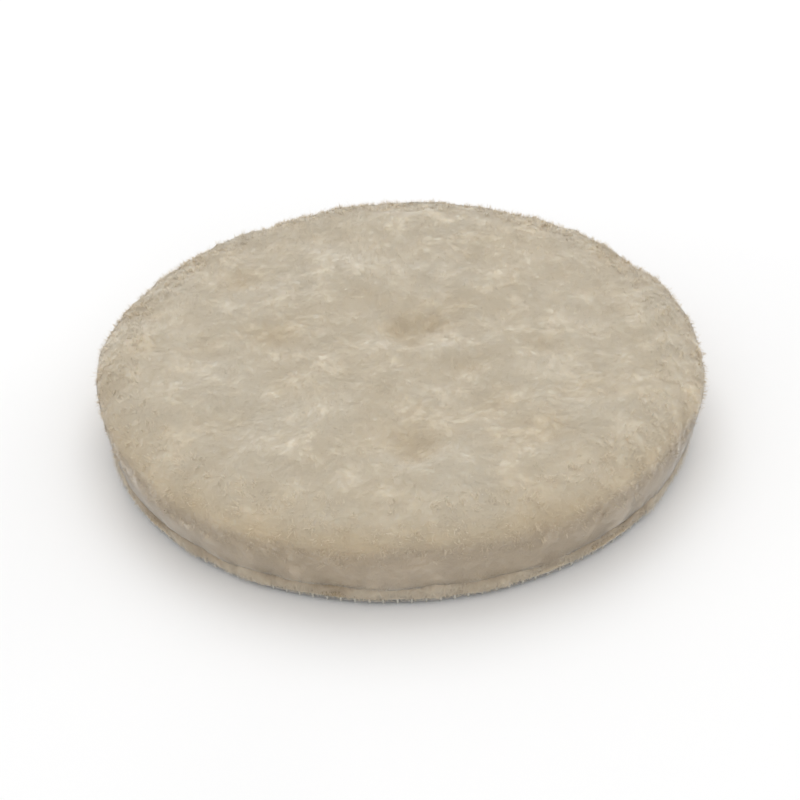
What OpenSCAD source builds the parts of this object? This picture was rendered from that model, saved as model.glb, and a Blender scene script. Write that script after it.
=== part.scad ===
// Round lambswool polishing pad with a hook-and-loop back.
//
// The pad lies on its loop face with the wool upwards. The origin is the centre
// of the loop face, +Z points up through the wool, and all lengths are in
// millimetres. From the bottom up the layers are the loop nap, the loop cloth,
// the adhesive film, the sheepskin hide and the wool that grows out of the hide.
// A zigzag lockstitch joins the layers round the rim. Its inner needle holes
// pull the wool down, so it parts into the main pile and a narrow rim fringe.

/* [Pad] */
// Radius of the hide and of the loop cloth
disc_r = 75; // [60:0.5:90]
// Height from the loop face to the top of the wool
pad_h = 24.4; // [20:0.1:30]
// Radius of the centring hole through the back
hole_r = 6; // [4:0.5:10]

/* [Layers] */
// Height of the loops that stand on the loop cloth
nap_h = 0.6; // [0.5:0.05:1]
// Thickness of the knitted loop cloth
cloth_t = 0.7; // [0.5:0.05:1]
// Thickness of the adhesive film
film_t = 0.3; // [0.1:0.05:0.5]
// Thickness of the sheepskin hide
hide_t = 1.2; // [0.8:0.1:2]
// How far the adhesive film stops short of the edge
film_inset = 1.6; // [0.5:0.1:3]

/* [Wool] */
// How far the wool stands out beyond the disc at its widest
wool_overhang = 3.1; // [1:0.1:6]
// Height of the wool's widest level
widest_z = 17.2; // [12:0.1:18]
// Width of the rounded shoulder, seen from above
shoulder_w = 14.2; // [8:0.1:20]
// Radius of the dimple in the top of the wool
dimple_r = 9; // [6:0.5:14]
// Depth of that dimple
dimple_depth = 4.5; // [2:0.5:6]
// Height of the hollow that the wool leaves over the centring hole
hollow_h = 6; // [3:0.5:8]
// Height of the rim fringe above its roots
fringe_h = 2.4; // [2:0.1:3]
// How far the fringe stands out beyond the disc
fringe_overhang = 0.9; // [0.6:0.1:1.5]

/* [Rim seam] */
// Distance along the rim from one stitch to the next
stitch_pitch = 3.3; // [2.5:0.1:5]
// Distance from the edge in to the inner needle holes
seam_w = 3.8; // [3:0.1:5]
// Diameter of the sewing thread
thread_d = 0.5; // [0.3:0.05:0.5]

/* [Hidden] */
$fn = 120;

// Clearance between neighbouring pieces that only touch
gap = 0.03;
// Clearance that keeps the wool's two regions apart along the crease
crease_gap = 0.25;
// Number of straight pieces in each curved stretch of a wool outline
curve_steps = 10;

cloth_z = nap_h;
film_z = cloth_z + cloth_t;
hide_z = film_z + film_t;
hide_top = hide_z + hide_t;

stitches = round(2 * PI * disc_r / stitch_pitch);
seam_r = disc_r - seam_w;
// Half the width of the thread, measured along the radius, where a run slants
thread_slant = thread_d;
nap_r = seam_r - 1;
wrap_r = disc_r + thread_d / 2 + gap;

root_z = hide_top + thread_d + 2 * gap;
pile_base_r = seam_r - thread_slant - 0.1;
fringe_out_r = disc_r + fringe_overhang;
fringe_in_r = seam_r - thread_slant / 2;
fringe_mid_r = (fringe_out_r + fringe_in_r) / 2;
fringe_half_w = (fringe_out_r - fringe_in_r) / 2;
widest_r = disc_r + wool_overhang;
lip_angle = 40;
lip_z = root_z + fringe_h + crease_gap;
lip_r = fringe_out_r + 0.3;

// A point on the upper half of an ellipse that stands on the fringe's root line
function over_fringe(a, grow) = [
    fringe_mid_r + (fringe_half_w + grow) * cos(a),
    root_z + (fringe_h + grow) * sin(a)
];

// The pile's outline over the fringe, from its roots out to the crease's mouth
function crease_line() = [
    for (i = [0 : curve_steps])
        over_fringe(180 - (180 - lip_angle) * i / curve_steps, crease_gap)
];

// The side wall, which swells from the lip out to the widest level
function wall_line() = [
    for (i = [0 : curve_steps - 1])
        [lip_r + (widest_r - lip_r) * sin(90 * i / curve_steps),
         lip_z + (widest_z - lip_z) * i / curve_steps]
];

// The shoulder, a quarter of an ellipse from the widest level to the top
function shoulder_line() = [
    for (i = [0 : curve_steps])
        [widest_r - shoulder_w * (1 - cos(90 * i / curve_steps)),
         widest_z + (pad_h - widest_z) * sin(90 * i / curve_steps)]
];

// The dimple, one wave from the level top down to the middle
function dimple_line() = [
    for (i = [0 : curve_steps])
        [dimple_r * (1 - i / curve_steps),
         pad_h - dimple_depth * (1 - cos(180 * i / curve_steps)) / 2]
];

// All corners of the zigzag: even corners lie at the inner holes, odd ones at the edge
function zigzag(shift) = [
    for (i = [0 : 2 * stitches - 1])
        let (r = (i % 2 == 0 ? seam_r : disc_r - thread_slant) + shift)
        [r * cos(180 * i / stitches), r * sin(180 * i / stitches)]
];

// A flat ring of cloth, film or hide with the centring hole through it
module layer(z, thickness, r) {
    translate([0, 0, z])
        difference() {
            cylinder(h = thickness, r = r);
            translate([0, 0, -1])
                cylinder(h = thickness + 2, r = hole_r);
        }
}

// The zigzag run of one sewing thread, pressed flat against the layer that it lies on
module zigzag_thread(z) {
    translate([0, 0, z])
        linear_extrude(height = thread_d)
            difference() {
                polygon(zigzag(thread_slant / 2));
                polygon(zigzag(-thread_slant / 2));
            }
}

// Main field of wool, closed over the centring hole
module wool_pile() {
    color([0.80, 0.76, 0.67])
        rotate_extrude()
            polygon(concat(
                [[0, hide_top + hollow_h], [hole_r, hide_top + gap], [pile_base_r, hide_top + gap]],
                crease_line(),
                wall_line(),
                shoulder_line(),
                dimple_line()
            ));
}

// Narrow band of wool outside the seam
module rim_fringe() {
    color([0.69, 0.65, 0.57])
        rotate_extrude()
            polygon([for (i = [0 : curve_steps]) over_fringe(180 * i / curve_steps, 0)]);
}

// Tanned skin that the wool grows from
module sheepskin_hide() {
    color([0.72, 0.62, 0.48])
        layer(hide_z, hide_t, disc_r - 0.1);
}

// Glue line between the hide and the loop cloth
module adhesive_film() {
    color([0.35, 0.29, 0.22])
        layer(film_z, film_t, disc_r - film_inset);
}

// Knitted ground of the loop fastener, whose cut edge shows as a thin grey line
module loop_cloth() {
    color([0.50, 0.48, 0.45])
        layer(cloth_z, cloth_t, disc_r);
}

// Field of small loops that a hook-faced backing plate grips
module loop_nap() {
    color([0.62, 0.60, 0.57])
        layer(0, nap_h, nap_r);
}

// Upper sewing thread: a zigzag on the hide and a short wrap over the edge at each stitch
module edge_needle_thread() {
    color([0.84, 0.81, 0.74]) {
        zigzag_thread(hide_top + gap);
        for (i = [0 : stitches - 1])
            rotate([0, 0, 360 * (i + 0.5) / stitches])
                translate([wrap_r, 0, cloth_z - gap])
                    cylinder(h = hide_top + thread_d + gap - cloth_z, d = thread_d, $fn = 16);
    }
}

// Lower sewing thread: the same zigzag under the loop cloth
module edge_bobbin_thread() {
    color([0.78, 0.75, 0.69])
        zigzag_thread(cloth_z - gap - thread_d);
}

wool_pile();
rim_fringe();
sheepskin_hide();
adhesive_film();
loop_cloth();
loop_nap();
edge_needle_thread();
edge_bobbin_thread();
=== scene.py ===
"""Looks of the lambswool polishing pad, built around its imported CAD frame.

Shapes are worked out in millimetres, in the frame's own axes, and turned into
metres when a mesh is made. +Z points up through the wool.
"""

import math

import bpy
import numpy as np
from mathutils import Matrix, Vector


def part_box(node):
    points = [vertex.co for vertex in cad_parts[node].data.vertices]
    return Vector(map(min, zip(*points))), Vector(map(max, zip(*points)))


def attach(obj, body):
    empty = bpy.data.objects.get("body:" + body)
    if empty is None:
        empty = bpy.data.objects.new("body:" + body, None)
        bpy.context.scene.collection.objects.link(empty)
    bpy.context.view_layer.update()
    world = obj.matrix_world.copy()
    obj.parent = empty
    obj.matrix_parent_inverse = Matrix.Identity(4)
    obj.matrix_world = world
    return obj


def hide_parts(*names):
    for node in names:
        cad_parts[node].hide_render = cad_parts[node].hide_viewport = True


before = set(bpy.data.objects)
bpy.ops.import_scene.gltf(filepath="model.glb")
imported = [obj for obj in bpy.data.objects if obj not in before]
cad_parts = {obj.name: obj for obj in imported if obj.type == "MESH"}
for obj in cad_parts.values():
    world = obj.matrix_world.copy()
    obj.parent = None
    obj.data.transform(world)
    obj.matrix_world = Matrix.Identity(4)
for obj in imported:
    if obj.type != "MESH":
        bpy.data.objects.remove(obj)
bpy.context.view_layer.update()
MM = 0.001
ROOT = "root"


def round_size(node):
    """A round CAD node's radius and its lowest and highest level, in millimetres."""
    low, high = (np.array(corner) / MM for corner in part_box(node))
    return high[0], low[2], high[2]


# ---------------------------------------------------------------- sizes, in millimetres

WIDEST_R, _, TOP_Z = round_size("wool_pile")
DISC_R, CLOTH_LOW, CLOTH_TOP = round_size("loop_cloth")
HIDE_R, HIDE_LOW, HIDE_TOP = round_size("sheepskin_hide")
NAP_R, _, _ = round_size("loop_nap")

# The pile's widest level, the width of its shoulder, its lip, and the crease that the lip hangs over
WIDEST_Z = 17.2
SHOULDER_W = 14.2
LIP_R = 76.2
LIP_Z = 5.3
CREASE_R = 72.6
CREASE_Z = 5.0
# Points below the lip where the wool turns in to the crease: how far in and how far down from the lip
LIP_TUCK = ((0.3, 0.8), (1.2, 1.2))
# The centring hole, and the zigzag seam round the rim
HOLE_R = 6.0
STITCHES = 143
SEAM_W = 3.8
SEAM_R = DISC_R - SEAM_W

# Hollows and crests in the top of the wool: x, y, radius and height (below zero is a hollow)
TOP_FEATURES = (
    (3.5, 5.0, 9.5, -2.2),
    (8.8, 6.5, 4.2, -1.3),
    (-0.5, 4.0, 4.6, -1.1),
    (3.6, -1.5, 3.8, -1.0),
    (10.8, -6.5, 4.2, 1.0),
    (-3.0, -8.0, 5.5, 0.8),
    (18.0, -13.0, 7.0, -1.0),
    (37.0, -6.0, 6.0, -1.2),
    (24.0, -32.0, 8.0, -1.4),
    (36.0, -42.0, 8.0, -1.2),
    (32.0, -20.0, 7.0, 1.0),
    (46.0, -36.0, 7.0, 1.1),
    (2.2, -45.0, 9.5, -2.2),
    (2.0, -49.5, 4.5, -0.9),
    (7.5, -53.5, 4.5, 0.7),
    (-5.0, -52.0, 4.5, 0.7),
    (-13.0, -62.0, 4.5, 0.7),
    (-4.0, -64.0, 4.5, 0.7),
    (-23.5, -60.0, 4.0, 0.5),
    (-28.0, -49.0, 4.0, 0.6),
    (-36.0, -46.5, 4.0, 0.5),
    (-50.5, -41.0, 4.0, 0.5),
    (-14.0, -36.0, 9.0, 0.9),
    (-42.0, 30.0, 5.5, -1.1),
    (-64.0, 0.0, 6.0, -1.1),
    (-32.0, 3.0, 6.5, -1.1),
    (-46.0, -20.0, 12.0, 0.9),
    (-18.0, 38.0, 14.0, 0.8),
)
# Places where the pile's edge swells out or shrinks in: bearing, half width (both in degrees) and height
EDGE_SWELLS = (
    (2, 16, 0.9),
    (65, 20, 0.6),
    (92, 12, 0.8),
    (121, 15, -1.5),
    (178, 14, 0.6),
    (198, 10, -0.7),
    (232, 16, 0.5),
    (280, 22, -0.6),
)
# Places where the lip draws back over the crease and the painted crease shade reaches further up:
# bearing, half width and share of the gap
CREASE_GAPS = (
    (215, 7, 0.9),
    (230, 6, 1.0),
    (245, 7, 0.9),
    (257, 4, 1.2),
    (274, 4, 0.6),
    (285, 6, 0.7),
    (306, 6, 0.9),
    (318, 7, 1.0),
)


# ---------------------------------------------------------------- noise

GRADIENTS = np.random.default_rng(11).normal(size=(512, 3)).astype(np.float32)
GRADIENTS /= np.linalg.norm(GRADIENTS, axis=1, keepdims=True)
# Odd numbers that scatter the cells over the gradients
CELL_PRIMES = (73856093, 19349663, 83492791)
MIXING_PRIME = 668265263
POSITIVE = 0x7FFFFFFF
# How far each seed shifts the field, and the factor that brings it to about -1 to 1
SEED_SHIFT = 17.31
NOISE_GAIN = 1.6


def noise(points, scale, seed):
    """Smooth gradient noise, about -1 to 1, at points in mm, with features about scale mm wide."""
    q = np.asarray(points, np.float32) / np.float32(scale) + np.float32(seed * SEED_SHIFT)
    cell = np.floor(q).astype(np.int64)
    inside = q - cell
    fade = inside * inside * inside * (inside * (inside * 6 - 15) + 10)
    total = np.zeros(q.shape[:-1], np.float32)
    for corner in np.ndindex(2, 2, 2):
        at = cell + np.array(corner)
        x, y, z = (at[..., k] * CELL_PRIMES[k] for k in range(3))
        mixed = x ^ y ^ z
        mixed = (mixed ^ (mixed >> 11)) * MIXING_PRIME & POSITIVE
        gradient = GRADIENTS[(mixed >> 7) % len(GRADIENTS)]
        weight = np.where(corner, fade, 1 - fade).prod(axis=-1)
        total += weight * (gradient * (inside - np.array(corner, np.float32))).sum(axis=-1)
    return total * NOISE_GAIN


def layered(points, scale, seed, octaves):
    """Several octaves of noise, each half the size and half the height of the last."""
    return sum(noise(points, scale / 2**k, seed + k) / 2**k for k in range(octaves))


# ---------------------------------------------------------------- the fleece's shape

SHOULDER_STEPS = 25
WALL_STEPS = 12


def unit(v):
    """Vectors scaled to length 1."""
    return v / np.maximum(np.linalg.norm(v, axis=-1, keepdims=True), 1e-9)


def around(count):
    """Evenly spaced bearings round the pad, count of them."""
    return np.arange(count) * 2 * np.pi / count


def ring_points(angle, r, z):
    """Points at these bearings, radii and heights."""
    return np.stack([r * np.cos(angle), r * np.sin(angle), z + 0 * angle], -1)


def pile_outline():
    """The pile's outline as radius and height.

    It runs from the middle of the top outwards, down the wall, round the lip and into the crease.
    """
    inner_r = WIDEST_R - SHOULDER_W
    a = np.radians(np.linspace(90, 0, SHOULDER_STEPS))
    shoulder = np.stack(
        [inner_r + SHOULDER_W * np.cos(a), WIDEST_Z + (TOP_Z - WIDEST_Z) * np.sin(a)], 1
    )
    t = np.linspace(1, 0, WALL_STEPS + 1)[1:]
    wall = np.stack(
        [LIP_R + (WIDEST_R - LIP_R) * np.sin(t * np.pi / 2), LIP_Z + (WIDEST_Z - LIP_Z) * t], 1
    )
    tuck = [[LIP_R - inwards, LIP_Z - down] for inwards, down in LIP_TUCK] + [[CREASE_R, CREASE_Z]]
    return np.concatenate([[[0, TOP_Z]], shoulder, wall, tuck])


OUTLINE = pile_outline()
# How far each point of the outline lies from the middle, measured along the outline
OUTLINE_S = np.concatenate([[0], np.cumsum(np.linalg.norm(np.diff(OUTLINE, axis=0), axis=1))])
PILE_REACH = OUTLINE_S[-1]
SHOULDER_S = OUTLINE_S[SHOULDER_STEPS]


def outline_normals(samples=400, passes=12):
    """Outward normals at even steps along the outline, smoothed over its corners by several passes."""
    fine = np.linspace(0, PILE_REACH, samples)
    line = np.stack([np.interp(fine, OUTLINE_S, OUTLINE[:, k]) for k in (0, 1)], 1)
    along = np.gradient(line, axis=0)
    out = np.stack([-along[:, 1], along[:, 0]], 1)
    for _ in range(passes):
        out[1:-1] = (out[:-2] + 2 * out[1:-1] + out[2:]) / 4
    return fine, out / np.linalg.norm(out, axis=1, keepdims=True)


NORMAL_S, NORMALS = outline_normals()


def ease(x, start, width):
    """From 0 where x is start to 1 where x is start + width, in a straight line."""
    return np.clip((x - start) / width, 0, 1)


def bumps_round(p, bumps):
    """Smooth bumps round the pad: each has a bearing and half width in degrees, and a height."""
    bearing = np.degrees(np.arctan2(p[..., 1], p[..., 0]))
    total = np.zeros(p.shape[:-1])
    for middle, half_width, height in bumps:
        off = (bearing - middle + 180) % 360 - 180
        total += height * np.exp(-((off / half_width) ** 2))
    return total


def crease_gap(p):
    """How far the lip has drawn back at the bearings of points p, from 0 to about 1; it also spreads the
    painted crease shade.

    The front has the placed gaps, and the back has gaps of the same kind from noise.
    """
    rim = unit(p * np.array([1.0, 1.0, 0.0])) * DISC_R
    front = np.clip(0.5 - rim[..., 1] / 40.0, 0, 1)
    elsewhere = 1.6 * np.clip(noise(rim, scale=8, seed=23) - 0.12, 0, 0.6)
    return front * bumps_round(p, CREASE_GAPS) + (1 - front) * elsewhere


# The share of the roughness that is left at the front of the pad
FRONT_ROUGHNESS = 0.35
# The rough band round the shoulder: where its middle lies along the outline, and its half width
ROUGH_S = SHOULDER_S - 8.0
ROUGH_HALF_WIDTH = 9.0
# How far a slow warp moves the clumps and the placed features
CLUMP_WARP = 6.0
FEATURE_WARP = 1.5
# How far up from the crease the lip has a relief of its own
LIP_BAND = 9.0
# How far the skin lies inside the plain outline, to leave room for the fibres
SKIN_INSET = 0.45


def roughness(p):
    """The roughness of the wool at points p: low at the front of the pad, and 1 at its back."""
    back = np.clip(0.35 + p[..., 1] / 70.0, 0, 1)
    return FRONT_ROUGHNESS + (1 - FRONT_ROUGHNESS) * back


def relief(p, s):
    """How far the wool stands out (mm) at points p of the plain outline, which lie s mm from its middle.

    Returns the whole relief, and the relief without its finest curls.
    """
    warp = np.stack([noise(p, scale=22, seed=k) for k in (3, 4, 5)], -1)
    q = p + CLUMP_WARP * warp
    h = 0.75 * layered(q, scale=21, seed=6, octaves=2)
    for depth, scale, seed in ((0.35, 12, 9), (0.06, 6.5, 12)):
        h = h + depth * (0.3 - np.abs(noise(q, scale, seed)))
    for x, y, radius, height in TOP_FEATURES:
        near = p[..., :2] + FEATURE_WARP * warp[..., :2] - np.array([x, y])
        h = h + height * np.exp(-(near**2).sum(axis=-1) / (0.6 * radius**2))
    rough = np.exp(-(((s - ROUGH_S) / ROUGH_HALF_WIDTH) ** 2)) * roughness(p)
    swell = bumps_round(p, EDGE_SWELLS) + 1.7 * rough * noise(q, scale=12, seed=17)
    h = h * (1 - 0.6 * ease(s, SHOULDER_S, 10.0)) + swell * ease(s, SHOULDER_S - 12.0, 12.0)
    curls = (0.02 + 0.34 * rough) * noise(p, scale=2.4, seed=14)
    curls = curls + 0.45 * rough * noise(q, scale=5.5, seed=16)
    lip = 0.5 * noise(p, scale=11, seed=20) + 0.5 * noise(p, scale=4.5, seed=21)
    lip = lip + 0.2 - 0.5 * crease_gap(p)
    above_lip = ease(PILE_REACH - s, 0.0, LIP_BAND)
    smooth = h * above_lip + lip * (1 - above_lip) - SKIN_INSET
    return smooth + curls * above_lip, smooth


def height_share(h):
    """The relief as a share from 0, deep in a hollow, to 1, on a crest."""
    return np.clip(0.5 + h / 4.0, 0, 1)


# Paleness of the wool, the place on its colour ramp: deep in a hollow, on a crest and on the wall, where
# the hollow and wall values are painted shade.
# It falls to 0, the painted crease shade, in the crease.
HOLLOW_SHADE_PALE = 0.45
CREST_PALE = 1.0
WALL_SHADE_PALE = 0.3


def pile_surface(ab):
    """The fleece at points ab of the flattened pile.

    Returns points on the fleece, the outward directions of its plain outline, and its paleness, which
    carries painted shade in the hollows, on the wall and in the crease.
    """
    s = np.linalg.norm(ab, axis=-1)
    away = ab / np.maximum(s, 1e-6)[..., None]
    s = np.minimum(s, PILE_REACH)
    r, z = (np.interp(s, OUTLINE_S, OUTLINE[:, k]) for k in (0, 1))
    nr, nz = (np.interp(s, NORMAL_S, NORMALS[:, k]) for k in (0, 1))
    p = np.concatenate([away * r[..., None], z[..., None]], -1)
    n = np.concatenate([away * nr[..., None], nz[..., None]], -1)
    h, smooth = relief(p, s)
    # Painted shade: darker in the hollows and on the wall, and brown towards the crease, further up where
    # the lip draws back
    on_wall = ease(s, SHOULDER_S - 8.5, 10.0)
    pale = HOLLOW_SHADE_PALE + (CREST_PALE - HOLLOW_SHADE_PALE) * height_share(smooth)
    pale = pale * (1 - on_wall) + WALL_SHADE_PALE * on_wall
    return p + n * h[..., None], n, pale * ease(PILE_REACH - s, 0.0, 4.2 + 5.3 * crease_gap(p))


def relief_normals(ab, reach=3.5, lean=0.4):
    """Unit normals of the fleece, evened out over reach mm, for points ab of the flattened pile.

    Above the wall they lean upwards a little, as loose fibres catch light from above.
    """
    offsets = reach * np.array([(1, 0), (-1, 0), (0, 1), (0, -1)])
    east, west, north, south = (pile_surface(ab + offset)[0] for offset in offsets)
    slope = unit(np.cross(east - west, north - south))
    s = np.linalg.norm(ab, axis=-1)
    tilt = lean * (1 - ease(s, SHOULDER_S, 6.0))
    return unit(slope + tilt[..., None] * np.array([0, 0, 1.0]))


# ---------------------------------------------------------------- meshes


def mesh_piece(name, points_mm, faces, material, attributes=None):
    """A smooth-shaded mesh object, from points in mm and faces with equal numbers of corners."""
    mesh = bpy.data.meshes.new(name)
    corners = faces.shape[1]
    mesh.vertices.add(len(points_mm))
    mesh.vertices.foreach_set("co", (np.asarray(points_mm, np.float32) * MM).ravel())
    mesh.loops.add(faces.size)
    mesh.loops.foreach_set("vertex_index", faces.astype(np.int32).ravel())
    mesh.polygons.add(len(faces))
    mesh.polygons.foreach_set("loop_start", np.arange(0, faces.size, corners, dtype=np.int32))
    for key, values in (attributes or {}).items():
        attribute = mesh.attributes.new(key, "FLOAT", "POINT")
        attribute.data.foreach_set("value", np.asarray(values, np.float32).ravel())
    mesh.update(calc_edges=True)
    mesh.polygons.foreach_set("use_smooth", np.full(len(faces), True))
    mesh.materials.append(material)
    piece = bpy.data.objects.new(name, mesh)
    bpy.context.scene.collection.objects.link(piece)
    return piece


def disc_grid(steps):
    """A square grid of steps by steps cells, bent into a disc of radius 1, and its quads."""
    u, v = np.meshgrid(np.linspace(-1, 1, steps + 1), np.linspace(-1, 1, steps + 1), indexing="ij")
    wide = np.abs(u) > np.abs(v)
    r = np.where(wide, u, v)
    ratio = np.where(wide, v, u) / np.where(r == 0, 1, r)
    turn = ratio * np.pi / 4
    x = np.where(wide, r * np.cos(turn), r * np.sin(turn))
    y = np.where(wide, r * np.sin(turn), r * np.cos(turn))
    k = np.arange(steps)[:, None] * (steps + 1) + np.arange(steps)[None, :]
    quads = np.stack([k, k + steps + 1, k + steps + 2, k + 1], -1).reshape(-1, 4)
    return np.stack([x, y], -1).reshape(-1, 2), quads


def wrapped_quads(columns, rows):
    """The quads of a grid of columns by rows points that closes on itself both ways."""
    i, j = np.meshgrid(np.arange(columns), np.arange(rows), indexing="ij")
    i2, j2 = (i + 1) % columns, (j + 1) % rows
    return np.stack([i * rows + j, i * rows + j2, i2 * rows + j2, i2 * rows + j], -1).reshape(-1, 4)


def ribbons(name, centres, sides, material, height=None, normals=None):
    """Thin fibres as flat ribbons: centres and half-width vectors are arrays of strand, step and axis.

    Height is the wool's paleness with its painted shade, and normals the slope that the fibres are shaded
    by, at each step.
    """
    strands, steps = centres.shape[:2]
    points = np.stack([centres - sides, centres + sides], 2).reshape(-1, 3)
    k = 2 * np.arange(steps - 1)
    quad = np.stack([k, k + 1, k + 3, k + 2], -1)
    faces = (np.arange(strands)[:, None, None] * 2 * steps + quad[None]).reshape(-1, 4)
    attributes = None if height is None else {"height": np.repeat(height.reshape(-1), 2)}
    piece = mesh_piece(name, points, faces, material, attributes)
    if normals is not None:
        slopes = np.repeat(normals.reshape(-1, 3), 2, axis=0).astype(np.float32)
        shade = piece.data.attributes.new("shade", "FLOAT_VECTOR", "POINT")
        shade.data.foreach_set("vector", slopes.ravel())
        piece.data.normals_split_custom_set_from_vertices(slopes)
    return piece


# ---------------------------------------------------------------- materials


def material_nodes(name, **inputs):
    """A new material, its node tree and its Principled shader, with plain values set on the shader."""
    material = bpy.data.materials.new(name)
    material.use_nodes = True
    tree = material.node_tree
    shader = tree.nodes["Principled BSDF"]
    for key, value in inputs.items():
        shader.inputs[key.replace("_", " ").title()].default_value = value
    return material, tree, shader


def add(tree, kind, **settings):
    """A new node of this kind, with its properties set."""
    n = tree.nodes.new(kind)
    for key, value in settings.items():
        setattr(n, key, value)
    return n


def object_noise(tree, scale, detail, roughness=0.55):
    """A noise texture in the object's own coordinates, scale in features per metre."""
    where = add(tree, "ShaderNodeTexCoord")
    texture = add(tree, "ShaderNodeTexNoise")
    texture.inputs["Scale"].default_value = scale
    texture.inputs["Detail"].default_value = detail
    texture.inputs["Roughness"].default_value = roughness
    tree.links.new(where.outputs["Object"], texture.inputs["Vector"])
    return texture.outputs["Fac"]


def ramp(tree, factor, stops):
    """A colour ramp over factor, with stops of (place, colour)."""
    node = add(tree, "ShaderNodeValToRGB")
    elements = node.color_ramp.elements
    while len(elements) < len(stops):
        elements.new(0.5)
    for element, (place, colour) in zip(elements, stops):
        element.position = place
        element.color = (*colour, 1)
    tree.links.new(factor, node.inputs["Fac"])
    return node.outputs["Color"]


def multiply(tree, a, b):
    """Two colours multiplied."""
    node = add(tree, "ShaderNodeMix", data_type="RGBA", blend_type="MULTIPLY")
    factor, colour_a, colour_b = (node.inputs[k] for k in (0, 6, 7))
    factor.default_value = 1.0
    tree.links.new(a, colour_a)
    tree.links.new(b, colour_b)
    return node.outputs[2]


def bump(tree, shader, height, strength, distance):
    """Feeds height to the shader as a bump, distance in metres."""
    node = add(tree, "ShaderNodeBump")
    node.inputs["Strength"].default_value = strength
    node.inputs["Distance"].default_value = distance
    tree.links.new(height, node.inputs["Height"])
    tree.links.new(node.outputs["Normal"], shader.inputs["Normal"])


WHITE = (1, 1, 1)
# Painted shade: the brown the wool turns to in the crease under the lip
CREASE_PAINTED_SHADE = (0.34, 0.26, 0.16)
YELLOWED = (0.985, 0.965, 0.93)


def wool_material(name, crest, hollow, wall, streak, follows_shade):
    """Wool: creamy on the crests, with painted shade that makes it yellower in the hollows, duller down
    the wall and brown in the crease.

    Fibres that follow the attribute "shade" take the fleece's own slope from it and so shade as one.
    """
    material, tree, shader = material_nodes(name, roughness=0.92, sheen_weight=0.8, sheen_roughness=0.4)
    shader.inputs["Specular IOR Level"].default_value = 0.15
    height = add(tree, "ShaderNodeAttribute", attribute_name="height")
    # The ramp paints shade: brown in the crease, duller on the wall, darker and yellower in the hollows;
    # the crest tone is the wool's own
    stops = ((0.0, CREASE_PAINTED_SHADE), (WALL_SHADE_PALE, wall), (HOLLOW_SHADE_PALE, hollow), (0.68, crest))
    depth = ramp(tree, height.outputs["Fac"], stops)
    fine = ramp(tree, object_noise(tree, scale=900, detail=4.0), ((0.3, streak), (0.7, WHITE)))
    broad = ramp(tree, object_noise(tree, scale=45, detail=3.0), ((0.35, YELLOWED), (0.65, WHITE)))
    tree.links.new(multiply(tree, multiply(tree, depth, fine), broad), shader.inputs["Base Color"])
    if follows_shade:
        slope = add(tree, "ShaderNodeAttribute", attribute_name="shade")
        tree.links.new(slope.outputs["Vector"], shader.inputs["Normal"])
    else:
        curls = object_noise(tree, scale=1400, detail=5.0, roughness=0.7)
        bump(tree, shader, curls, strength=0.35, distance=0.0003)
    return material


def soften(material, weight, reach):
    """Lets light spread inside the wool, reach metres deep."""
    shader = material.node_tree.nodes["Principled BSDF"]
    shader.inputs["Subsurface Weight"].default_value = weight
    shader.inputs["Subsurface Radius"].default_value = (1.0, 0.85, 0.65)
    shader.inputs["Subsurface Scale"].default_value = reach


def fabric_material(name, dark, light, scale, **inputs):
    """A knitted or napped fabric: two tones in a fine pattern, with the threads standing out."""
    material, tree, shader = material_nodes(name, sheen_weight=0.3, **inputs)
    where = add(tree, "ShaderNodeTexCoord")
    cells = add(tree, "ShaderNodeTexVoronoi", feature="F1")
    cells.inputs["Scale"].default_value = scale
    tree.links.new(where.outputs["Object"], cells.inputs["Vector"])
    tone = ramp(tree, cells.outputs["Distance"], ((0.1, light), (0.6, dark)))
    clouds = object_noise(tree, scale=60, detail=3.0)
    broad = ramp(tree, clouds, ((0.3, (0.86, 0.86, 0.86)), (0.7, WHITE)))
    tree.links.new(multiply(tree, tone, broad), shader.inputs["Base Color"])
    bump(tree, shader, object_noise(tree, scale=2600, detail=4.0), strength=0.6, distance=0.0002)
    return material


def mottled_material(name, dark, light, mottle, grain, strength, distance, **inputs):
    """Two tones mottled by noise, with a finer grain as a bump.

    Mottle and grain are the scale and detail of their noise, and its roughness where it isn't usual.
    """
    material, tree, shader = material_nodes(name, **inputs)
    tone = ramp(tree, object_noise(tree, *mottle), ((0.3, dark), (0.7, light)))
    tree.links.new(tone, shader.inputs["Base Color"])
    bump(tree, shader, object_noise(tree, *grain), strength, distance)
    return material


# Linear colours of the wool on a crest, in a hollow and on the wall; the hollow and wall tones hold
# painted shade
PILE_TONES = ((0.71, 0.625, 0.485), (0.67, 0.565, 0.41), (0.56, 0.465, 0.35))
# The fringe's tones are darker than the pile's: painted shade of the low band under the lip
RIM_PAINTED_SHADE_TONES = ((0.66, 0.57, 0.445), (0.60, 0.50, 0.38), (0.54, 0.445, 0.335))
# The tufts' tones are lighter than the pile's: painted light where loose fuzz catches it
TUFT_PAINTED_LIGHT_TONES = ((0.79, 0.705, 0.565), (0.75, 0.655, 0.505), (0.64, 0.545, 0.42))
PILE_STREAK = (0.985, 0.98, 0.97)
RIM_STREAK = (0.95, 0.94, 0.92)
WOOL_BASE = wool_material("wool_depth", *PILE_TONES, PILE_STREAK, follows_shade=False)
WOOL_FIBRE = wool_material("wool_fibre", *PILE_TONES, PILE_STREAK, follows_shade=True)
WOOL_RIM = wool_material("wool_rim", *RIM_PAINTED_SHADE_TONES, RIM_STREAK, follows_shade=False)
RIM_FIBRE = wool_material("wool_rim_fibre", *RIM_PAINTED_SHADE_TONES, RIM_STREAK, follows_shade=True)
WOOL_TUFT = wool_material("wool_tuft", *TUFT_PAINTED_LIGHT_TONES, PILE_STREAK, follows_shade=False)
soften(WOOL_BASE, weight=0.9, reach=0.003)
soften(WOOL_RIM, weight=0.7, reach=0.0015)
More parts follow.
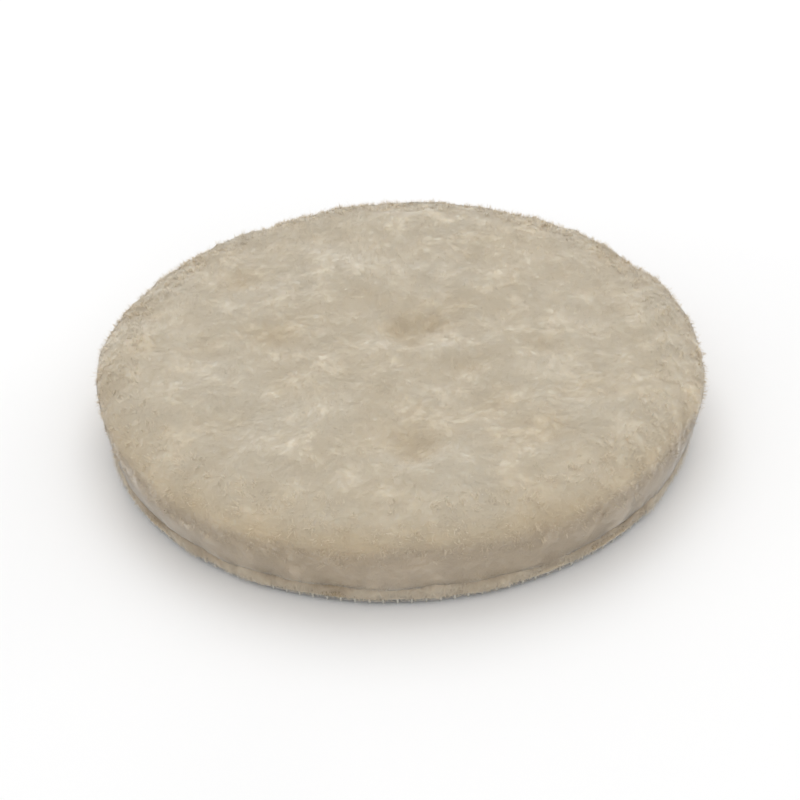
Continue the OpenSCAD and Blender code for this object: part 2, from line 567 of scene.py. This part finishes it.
CLOTH = fabric_material(
    "loop_cloth_knit", (0.30, 0.29, 0.27), (0.52, 0.51, 0.48), scale=1500, roughness=0.85
)
LOOPS = fabric_material("loop_yarn", (0.36, 0.35, 0.32), (0.60, 0.58, 0.54), scale=900, roughness=0.6)
# The suede side of a tanned skin
HIDE = mottled_material(
    "hide_suede", (0.40, 0.30, 0.19), (0.62, 0.52, 0.37), mottle=(300, 6.0, 0.65), grain=(2200, 5.0),
    strength=0.7, distance=0.0003, roughness=0.88,
)
# Twisted polyester, with a soft shine
THREAD = mottled_material(
    "thread_twist", (0.52, 0.50, 0.44), (0.70, 0.67, 0.60), mottle=(2500, 3.0), grain=(5000, 3.0),
    strength=0.4, distance=0.0001, roughness=0.55, sheen_weight=0.2,
)
# Cured glue, a dark amber
GLUE = mottled_material(
    "glue_film", (0.07, 0.05, 0.03), (0.14, 0.11, 0.07), mottle=(500, 4.0), grain=(900, 3.0),
    strength=0.5, distance=0.0002, roughness=0.6,
)


# ---------------------------------------------------------------- camera, floor and light

# The camera's distance (m), its angle above the rim and its roll, its lens (mm) and its shift
CAMERA_FAR = 0.450
CAMERA_UP_DEG = 36.0
CAMERA_ROLL_DEG = 2.37
CAMERA_LENS = 76.1
CAMERA_SHIFT = (-0.0009, 0.0159)
# The floor's half width and its level (mm)
FLOOR_HALF = 1500.0
FLOOR_Z = -0.02
SURROUND_STRENGTH = 0.85


def make_camera():
    """The camera at the photographed angle, a little above the rim and slightly rolled."""
    up = math.radians(CAMERA_UP_DEG)
    place = Vector((0, -CAMERA_FAR * math.cos(up), CAMERA_FAR * math.sin(up)))
    data = bpy.data.cameras.new("camera")
    data.lens = CAMERA_LENS
    data.sensor_width = 36
    data.shift_x, data.shift_y = CAMERA_SHIFT
    data.clip_start = 0.01
    camera = bpy.data.objects.new("camera", data)
    aim = (-place).to_track_quat("-Z", "Y").to_matrix()
    roll = Matrix.Rotation(math.radians(-CAMERA_ROLL_DEG), 3, "Z")
    camera.matrix_world = Matrix.Translation(place) @ (aim @ roll).to_4x4()
    bpy.context.scene.collection.objects.link(camera)
    bpy.context.scene.camera = camera


def make_floor():
    """A plain pale floor just under the pad."""
    corners = ((-1, -1), (1, -1), (1, 1), (-1, 1))
    points = np.array([[FLOOR_HALF * x, FLOOR_HALF * y, FLOOR_Z] for x, y in corners])
    material, tree, shader = material_nodes("floor_pale", roughness=0.9)
    clouds = object_noise(tree, scale=4, detail=2.0)
    shade = ramp(tree, clouds, ((0.4, (0.91, 0.91, 0.91)), (0.6, (0.94, 0.94, 0.94))))
    tree.links.new(shade, shader.inputs["Base Color"])
    shader.inputs["Specular IOR Level"].default_value = 0.1
    floor = mesh_piece("floor", points, np.array([[0, 1, 2, 3]]), material)


def soft_light(name, place, size, power):
    """A square soft light at place, in metres, that points at the pad."""
    data = bpy.data.lights.new(name, "AREA")
    data.shape = "SQUARE"
    data.size = size
    data.energy = power
    light = bpy.data.objects.new(name, data)
    light.location = place
    light.rotation_euler = (-Vector(place)).to_track_quat("-Z", "Y").to_euler()
    bpy.context.scene.collection.objects.link(light)


def make_light():
    """Soft light from above and behind, a weak fill from the front and a pale surround."""
    world = bpy.data.worlds.new("surround")
    world.use_nodes = True
    background = world.node_tree.nodes["Background"]
    background.inputs["Color"].default_value = (*WHITE, 1)
    background.inputs["Strength"].default_value = SURROUND_STRENGTH
    bpy.context.scene.world = world
    soft_light("key", (0.0, 0.55, 1.05), size=1.0, power=4.2)
    soft_light("fill", (0.4, -0.5, 1.0), size=0.9, power=0.5)
    bpy.context.scene.view_settings.view_transform = "Standard"


# ---------------------------------------------------------------- fleece

GRID_STEPS = 296
# Radius and level of the wool's roots inside the seam, and how far the skin drops to them
ROOT_R = SEAM_R - 0.6
ROOT_Z = HIDE_TOP + 0.05
ROOT_DROP = 1.0
# How far from the crease, along the outline, the fibres are rooted
LYING_CLEAR = 2.0
STANDING_CLEAR = 12.0
LIP_ROOTS = (8.0, 4.2)


def place(piece, node, slot):
    """The piece stands for the CAD node, whose part it hides, and rides on the pad. The slot is not used.
    """
    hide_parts(node)
    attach(piece, ROOT)


def bottom_cap(points, edge, rings):
    """Closes the loop of point numbers edge with rings of (radius, height) and a fan in the middle.

    Returns all points and the new triangles.
    """
    angle = np.arctan2(points[edge, 1], points[edge, 0])
    loop = edge[np.argsort(angle)]
    angle = np.sort(angle)
    made, faces = [points], []
    for radius, height in rings:
        ring = np.arange(len(loop)) + sum(len(m) for m in made)
        made.append(ring_points(angle, radius, height))
        a, b, c, d = loop, np.roll(loop, -1), np.roll(ring, -1), ring
        faces += [np.stack([a, d, b], 1), np.stack([b, d, c], 1)]
        loop = ring
    middle = sum(len(m) for m in made)
    made.append(np.array([[0, 0, rings[-1][1]]]))
    faces.append(np.stack([loop, np.full(len(loop), middle), np.roll(loop, -1)], 1))
    return np.concatenate(made), np.concatenate(faces)


def make_fleece():
    """The body of the fleece: a dense skin with the clumps, hollows and lip, closed below."""
    ab, quads = disc_grid(GRID_STEPS)
    points, _, pale = pile_surface(ab * PILE_REACH)
    triangles = np.concatenate([quads[:, [0, 1, 2]], quads[:, [0, 2, 3]]])
    edge = np.flatnonzero(np.linalg.norm(ab, axis=1) > 1 - 1e-6)
    rings = ((ROOT_R, ROOT_Z + ROOT_DROP), (ROOT_R, ROOT_Z), (HOLE_R, ROOT_Z))
    points, cap = bottom_cap(points, edge, rings)
    # The cap below takes the painted crease shade
    shares = np.concatenate([pale, np.zeros(len(points) - len(pale))])
    fleece = mesh_piece("fleece", points, np.concatenate([triangles, cap]), WOOL_BASE, {"height": shares})
    place(fleece, "wool_pile", "wool")


def scatter_on_pile(count, rng, reach):
    """Points spread evenly over the flattened pile, up to reach mm from its middle."""
    s = np.linspace(0, reach, 500)
    area = np.cumsum(np.interp(s, OUTLINE_S, OUTLINE[:, 0]))
    s = np.interp(rng.random(count) * area[-1], area, s)
    turn = rng.random(count) * 2 * np.pi
    return np.stack([s * np.cos(turn), s * np.sin(turn)], -1)


def steps_along(steps):
    """Even shares from 0 to 1 along a strand, to combine with arrays of strand, step and axis."""
    return np.linspace(0, 1, steps)[None, :, None]


def random_phase(rng, count):
    """A random phase for each strand's curl, to combine with steps_along."""
    return rng.uniform(0, 6.3, (count, 1, 1))


def ribbon_sides(centres, normal, width):
    """Half-width vectors that lie in the surface, across each strand."""
    return unit(np.cross(unit(np.gradient(centres, axis=1)), normal)) * (width / 2)


def lying_fibres(name, count, seed, length, width, rise, steps):
    """Fibres that lie over the fleece in locks.

    Neighbours share a heading, and each fibre curls and rises a little, by up to rise mm.
    """
    rng = np.random.default_rng(seed)
    start = scatter_on_pile(count, rng, PILE_REACH - LYING_CLEAR)
    flat = np.concatenate([start, np.zeros((count, 1))], 1)
    heading = 3.4 * noise(flat, scale=26, seed=31) + 2.2 * noise(flat, scale=9, seed=32)
    heading = heading + rng.normal(0, 0.9, count)
    long = length * rng.uniform(0.6, 1.4, count)
    t = np.linspace(0, 1, steps)
    wave_length = 2.6
    wave = rng.uniform(0, 2 * np.pi, count)[:, None] + t * (long / wave_length * 2 * np.pi)[:, None]
    angle = heading[:, None] + rng.normal(0, 0.8, count)[:, None] * t + 0.75 * np.sin(wave)
    step = (long / (steps - 1))[:, None]
    walk = np.cumsum(np.stack([np.cos(angle), np.sin(angle)], -1) * step[..., None], axis=1)
    ab = start[:, None] + walk - walk[:, :1]
    points, normal, pale = pile_surface(ab)
    arch = np.sin(np.pi * (0.08 + 0.8 * t))
    lift = rise * rng.uniform(0.1, 1, count)[:, None] * arch + 0.05 * np.cos(wave)
    centres = points + normal * lift[..., None]
    taper = np.sin(np.pi * (0.12 + 0.8 * t))[None, :, None]
    side = ribbon_sides(centres, normal, width) * taper * rng.uniform(0.7, 1.3, (count, 1, 1))
    share = pale * 0.92 + 0.08 * rng.random(count)[:, None]
    shade = unit(relief_normals(ab) + 0.04 * rng.normal(size=(count, 1, 3)))
    piece = ribbons(name, centres, side, WOOL_FIBRE, share, shade)
    place(piece, "wool_pile", "wool")


def standing_fibres(name, count, seed, length, width, steps, inner_share, tuft_size, spread):
    """Short curled fibres that stand out of the fleece in loose tufts, which roughen its outline.

    They grow outwards of inner_share, a part of the way from the middle to the crease, and are
    sparser at the front.
    """
    rng = np.random.default_rng(seed)
    tufts = scatter_on_pile(6 * count // tuft_size, rng, PILE_REACH - STANDING_CLEAR)
    tufts = tufts[rng.random(len(tufts)) < roughness(tufts)]
    tufts = tufts[np.linalg.norm(tufts, axis=1) > inner_share * PILE_REACH][: count // tuft_size]
    tuft = rng.integers(0, len(tufts), count)
    root = tufts[tuft] + rng.normal(0, spread, (count, 2))
    points, normal, pale = pile_surface(root)
    lean = rng.normal(0, 0.9, (len(tufts), 3))[tuft] + rng.normal(0, 0.6, (count, 3))
    long = (length * rng.uniform(0.5, 1.3, len(tufts)))[tuft] * rng.uniform(0.6, 1.2, count)
    t = steps_along(steps)
    rise = unit(normal + 0.8 * lean)[:, None] * long[:, None, None] * t
    curl = rng.normal(0, 0.3, (count, 1, 3)) * np.sin(6.0 * t + random_phase(rng, count))
    centres = points[:, None] - normal[:, None] * 0.15 + rise + curl * t
    side = ribbon_sides(centres, normal[:, None], width) * (1.05 - 0.8 * t)
    # The tufts keep out of the darkest painted shade, and their lighter tones are painted light
    share = np.repeat(np.maximum(pale, 0.35)[:, None], steps, axis=1)
    piece = ribbons(name, centres, side, WOOL_TUFT, share)
    place(piece, "wool_pile", "wool")


# ---------------------------------------------------------------- rim fringe

# The fringe's closed outline as radius and height, from its inner root over the top and under the edge
FRINGE_PROFILE = np.array(
    [[71.3, 3.6], [71.5, 4.8], [72.6, 5.6], [74.0, 5.9], [75.1, 5.4], [75.8, 4.4],
     [75.95, 3.4], [75.8, 2.5], [75.5, 1.85], [75.3, 1.9], [75.1, 2.9], [73.5, 3.1]]
)
FRINGE_AROUND = 1430


def stitch_pinch(angle):
    """From 0 between two stitches to 1 where a stitch goes over the edge."""
    return np.clip(np.cos(STITCHES * angle + np.pi), 0, 1) ** 4


def fringe_surface(angle, u):
    """The fringe at these bearings, u of the way round its profile.

    Returns points on the fringe, the outward directions of its plain profile, and its paleness, with
    painted shade in its hollows and near the crease.
    """
    corners = len(FRINGE_PROFILE)
    closed = np.concatenate([FRINGE_PROFILE, FRINGE_PROFILE[:1]])

    def profile(at):
        return (np.interp(at, np.arange(corners + 1), closed[:, k]) for k in (0, 1))

    at = u * corners
    r, z = profile(at)
    r_after, z_after = profile((at + 0.4) % corners)
    r_before, z_before = profile((at - 0.4) % corners)
    nr, nz = z_before - z_after, r_after - r_before
    size = np.maximum(np.hypot(nr, nz), 1e-6)
    p = ring_points(angle, r, z)
    n = ring_points(angle, nr / size, nz / size)
    h = 0.85 * noise(p, scale=12, seed=40) + 0.40 * noise(p, scale=3.5, seed=41)
    h = h + 0.14 * noise(p, scale=1.3, seed=42)
    near_stitch = ease(4.0 - z, 0.0, 1.8) * stitch_pinch(angle)
    h = h - 0.28 * near_stitch - 0.1
    # Painted shade: the fringe darkens in its hollows and towards the crease under the lip
    clear_of_crease_shade = ease(r, 73.1 + 1.4 * crease_gap(p), 2.0)
    return p + n * h[..., None], n, (0.3 + 0.7 * height_share(2.0 * h)) * clear_of_crease_shade


def make_fringe():
    """The narrow band of wool outside the seam, which rolls over the edge of the hide."""
    rows = 30
    angle, u = np.meshgrid(around(FRINGE_AROUND), np.arange(rows) / rows, indexing="ij")
    points, _, pale = fringe_surface(angle, u)
    quads = wrapped_quads(FRINGE_AROUND, rows)
    fringe = mesh_piece("fringe", points.reshape(-1, 3), quads, WOOL_RIM, {"height": pale})
    place(fringe, "rim_fringe", "wool")


def fringe_fibres(name, count, seed, length, width, steps):
    """Short fibres of the fringe, combed outwards and down over the edge."""
    rng = np.random.default_rng(seed)
    angle = rng.uniform(0, 2 * np.pi, count)
    u = rng.uniform(0.14, 0.68, count)
    points, normal, pale = fringe_surface(angle, u)
    across = ring_points(angle + np.pi / 2, 1.0, 0)
    down = unit(np.cross(across, normal))
    down *= np.sign(-down[:, 2:] + 1e-9)
    t = steps_along(steps)
    long = length * rng.uniform(0.4, 1.2, (count, 1, 1))
    lean = rng.normal(0, 0.45, (count, 1, 1))
    lift = normal[:, None] * (0.04 + 0.30 * rng.random((count, 1, 1)) * t * (1.2 - t))
    curl = across[:, None] * 0.12 * np.sin(4.5 * t + random_phase(rng, count))
    centres = points[:, None] + (down[:, None] + across[:, None] * lean) * long * t + lift + curl
    centres[..., 2] = np.maximum(centres[..., 2], HIDE_LOW + 0.25)
    side = ribbon_sides(centres, normal[:, None], width) * (1.05 - 0.7 * t)
    share = np.clip(pale[:, None] + 0.35 * t[..., 0], 0, 1)
    shade = np.repeat(normal[:, None], steps, axis=1)
    piece = ribbons(name, centres, side, RIM_FIBRE, share, shade)
    place(piece, "rim_fringe", "wool")


def lip_fibres(name, count, seed, length, width, steps):
    """Fibres that hang from the pile's lip over the crease, thick in places and missing in others."""
    rng = np.random.default_rng(seed)
    tries = 3 * count
    angle = rng.uniform(0, 2 * np.pi, tries)
    ring = ring_points(angle, DISC_R, 0)
    cover = noise(ring, scale=16, seed=44) + 0.6 * noise(ring, scale=5, seed=45)
    cover = cover - 1.5 * crease_gap(ring)
    angle = angle[cover > rng.uniform(-0.2, 0.8, tries)][:count]
    kept = len(angle)
    s = rng.uniform(PILE_REACH - LIP_ROOTS[0], PILE_REACH - LIP_ROOTS[1], kept)
    points, normal, pale = pile_surface(ring_points(angle, s, 0)[:, :2])
    across = ring_points(angle + np.pi / 2, 1.0, 0)
    t = steps_along(steps)
    long = length * rng.uniform(0.5, 1.3, (kept, 1, 1))
    lean = rng.normal(0, 0.4, (kept, 1, 1))
    curl = across[:, None] * 0.18 * np.sin(5.0 * t + random_phase(rng, kept))
    fall = np.array([0, 0, -1.0]) + across[:, None] * lean + normal[:, None] * 0.12 * (1.2 - t)
    centres = points[:, None] + normal[:, None] * 0.1 + fall * long * t + curl
    side = ribbon_sides(centres, normal[:, None], width) * (1.05 - 0.7 * t)
    share = np.repeat(pale[:, None], steps, axis=1)
    shade = np.repeat(unit(normal + np.array([0, 0, 0.2]))[:, None], steps, axis=1)
    piece = ribbons(name, centres, side, RIM_FIBRE, share, shade)
    place(piece, "wool_pile", "wool")


# ---------------------------------------------------------------- hide, cloth and loops


def cut_disc(name, material, radius, low, high, count, seed):
    """A flat disc of sheet material between two levels, with the centring hole and an uneven edge."""
    angle = around(count)
    ring = ring_points(angle, radius, 0)
    edge = radius + 0.15 * (noise(ring, scale=13, seed=seed) + 0.5 * noise(ring, scale=4, seed=seed + 1))
    radii = [HOLE_R, 7.5, *np.linspace(14, radius - 5, 9), radius - 1.2, radius - 0.25]
    rounding = 0.05 * (high - low)
    loops = [ring_points(angle, r, high) for r in radii]
    loops.append(ring_points(angle, edge - 0.10, high - rounding))
    loops.append(ring_points(angle, edge, (high + low) / 2))
    loops.append(ring_points(angle, edge - 0.10, low + rounding))
    loops += [ring_points(angle, r, low) for r in radii[::-1]]
    points = np.stack(loops)
    ripple = 0.05 * noise(points, scale=9, seed=seed + 3)
    ripple = ripple + 0.03 * noise(points, scale=2.5, seed=seed + 4)
    points[..., 2] += ripple * (points[..., 2] - low > 1e-6)
    quads = wrapped_quads(len(loops), count)[:, ::-1]
    return mesh_piece(name, points.reshape(-1, 3), quads, material)


def make_layers():
    """The hide and the loop cloth, two laid discs that the seam holds together."""
    hide = cut_disc("hide", HIDE, HIDE_R, HIDE_LOW, HIDE_TOP, count=900, seed=50)
    place(hide, "sheepskin_hide", "hide")
    cloth = cut_disc("cloth", CLOTH, DISC_R, CLOTH_LOW, CLOTH_TOP, count=1430, seed=60)
    place(cloth, "loop_cloth", "loop_fabric")


def make_loops(name, count, seed):
    """Small arched loops that stand down from the cloth, leaning every way."""
    rng = np.random.default_rng(seed)
    inner, outer = HOLE_R + 0.6, NAP_R
    r = np.sqrt(rng.uniform(inner**2, outer**2, count))
    foot = ring_points(rng.uniform(0, 2 * np.pi, count), r, CLOTH_LOW + 0.05)
    turn = rng.uniform(0, np.pi, count)
    along = ring_points(turn, 1.0, 0)
    lean = ring_points(turn + np.pi / 2, rng.normal(0, 0.22, count), 0)
    t = steps_along(8)
    half = rng.uniform(0.28, 0.48, (count, 1, 1))
    tall = rng.uniform(0.75, 1.0, (count, 1, 1)) * (CLOTH_LOW + 0.03)
    arch = np.sin(np.pi * t)
    swing = half * np.cos(np.pi * (0.12 + 0.76 * t)) * (1 + 0.25 * arch)
    centres = foot[:, None] - along[:, None] * swing + lean[:, None] * arch
    centres = centres + np.array([0, 0, -1.0]) * tall * arch**0.8
    half_width = 0.055
    side = unit(lean + 0.2 * along + np.array([0, 0, 0.05]))[:, None] * half_width * np.ones_like(t)
    piece = ribbons(name, centres, side, LOOPS)
    place(piece, "loop_nap", "loop_fabric")


# ---------------------------------------------------------------- sewing threads

# The sewing thread's radius, the turns of its two plies per mm, and the corners of its section
THREAD_R = 0.16
THREAD_TWIST = 0.6
THREAD_SIDES = 8


def thread(name, path, node):
    """A closed run of two-ply sewing thread along path, an array of points."""
    along = unit(np.roll(path, -1, axis=0) - np.roll(path, 1, axis=0))
    around_pad = unit(np.stack([-path[:, 1], path[:, 0], 0 * path[:, 0]], -1))
    u = unit(np.cross(along, around_pad + np.array([0, 0, 0.3])))
    v = np.cross(along, u)
    length = np.cumsum(np.linalg.norm(path - np.roll(path, 1, axis=0), axis=1))
    phi = around(THREAD_SIDES)[None, :]
    turned = phi - 2 * np.pi * THREAD_TWIST * length[:, None]
    ply = THREAD_R * (1 + 0.22 * np.cos(2 * turned))
    out = np.cos(phi)[..., None] * u[:, None] + np.sin(phi)[..., None] * v[:, None]
    points = path[:, None] + ply[..., None] * out
    piece = mesh_piece(name, points.reshape(-1, 3), wrapped_quads(len(path), THREAD_SIDES), THREAD)
    place(piece, node, "thread")


def stitch_path(corners):
    """A closed path that repeats its corners at each stitch, with a point halfway between corners.

    Each corner is a share of the stitch pitch, a radius and a height.
    """
    share, r, z = np.array(corners).T
    k = np.arange(STITCHES)[:, None]
    turn = ((k + share[None, :]) * 2 * np.pi / STITCHES).reshape(-1)
    rng = np.random.default_rng(70)
    wander = np.repeat(rng.normal(0, 0.06, STITCHES), len(corners))
    path = ring_points(turn + wander / DISC_R, np.tile(r, STITCHES), np.tile(z, STITCHES))
    halfway = (path + np.roll(path, -1, axis=0)) / 2
    return np.stack([path, halfway], 1).reshape(-1, 3)


def make_threads():
    """The needle thread, which wraps the edge at each stitch, and the bobbin thread below.

    The first half of each stitch is listed, and the second half mirrors it.
    """
    top, low = HIDE_TOP + 0.25, CLOTH_LOW - 0.12
    edge = DISC_R + 0.22
    beside_hide, beside_cloth = 2.0, 1.1
    needle = [
        (0.0, SEAM_R, top - 0.1), (0.15, SEAM_R + 1.2, top), (0.35, edge - 1.2, top),
        (0.44, edge - 0.35, top), (0.465, edge, top - 0.35), (0.47, edge + 0.05, beside_hide),
        (0.475, edge, beside_cloth), (0.485, edge - 0.2, low + 0.1), (0.5, edge - 0.5, low),
    ]
    bobbin = [
        (0.0, SEAM_R, low + 0.05), (0.15, SEAM_R + 1.2, low - 0.05), (0.35, edge - 1.2, low - 0.05),
        (0.47, edge - 0.35, low), (0.5, edge - 0.12, low + 0.1),
    ]
    for name, half, node in (
        ("needle_thread", needle, "edge_needle_thread"),
        ("bobbin_thread", bobbin, "edge_bobbin_thread"),
    ):
        mirrored = [(1 - share, r, z) for share, r, z in half[-2:0:-1]]
        thread(name, stitch_path(half + mirrored), node)


# ---------------------------------------------------------------- the scene

make_camera()
make_floor()
make_light()
make_fleece()
for batch in range(4):
    name = f"fleece_fibres_{batch + 1}"
    lying_fibres(name, count=16000, seed=100 + batch, length=5.0, width=0.09, rise=0.18, steps=7)
standing_fibres(
    "fleece_fuzz", count=20000, seed=200, length=1.0, width=0.08, steps=5,
    inner_share=0.0, tuft_size=4, spread=0.5,
)
standing_fibres(
    "shoulder_tufts", count=26000, seed=201, length=1.3, width=0.15, steps=5,
    inner_share=0.68, tuft_size=9, spread=0.45,
)
make_fringe()
fringe_fibres("fringe_fibres", count=20000, seed=300, length=2.1, width=0.10, steps=5)
lip_fibres("lip_fibres", count=9000, seed=301, length=2.6, width=0.10, steps=6)
make_layers()
make_loops("loops_1", count=11000, seed=400)
make_loops("loops_2", count=11000, seed=401)
make_threads()
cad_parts["adhesive_film"].data.materials[0] = GLUE
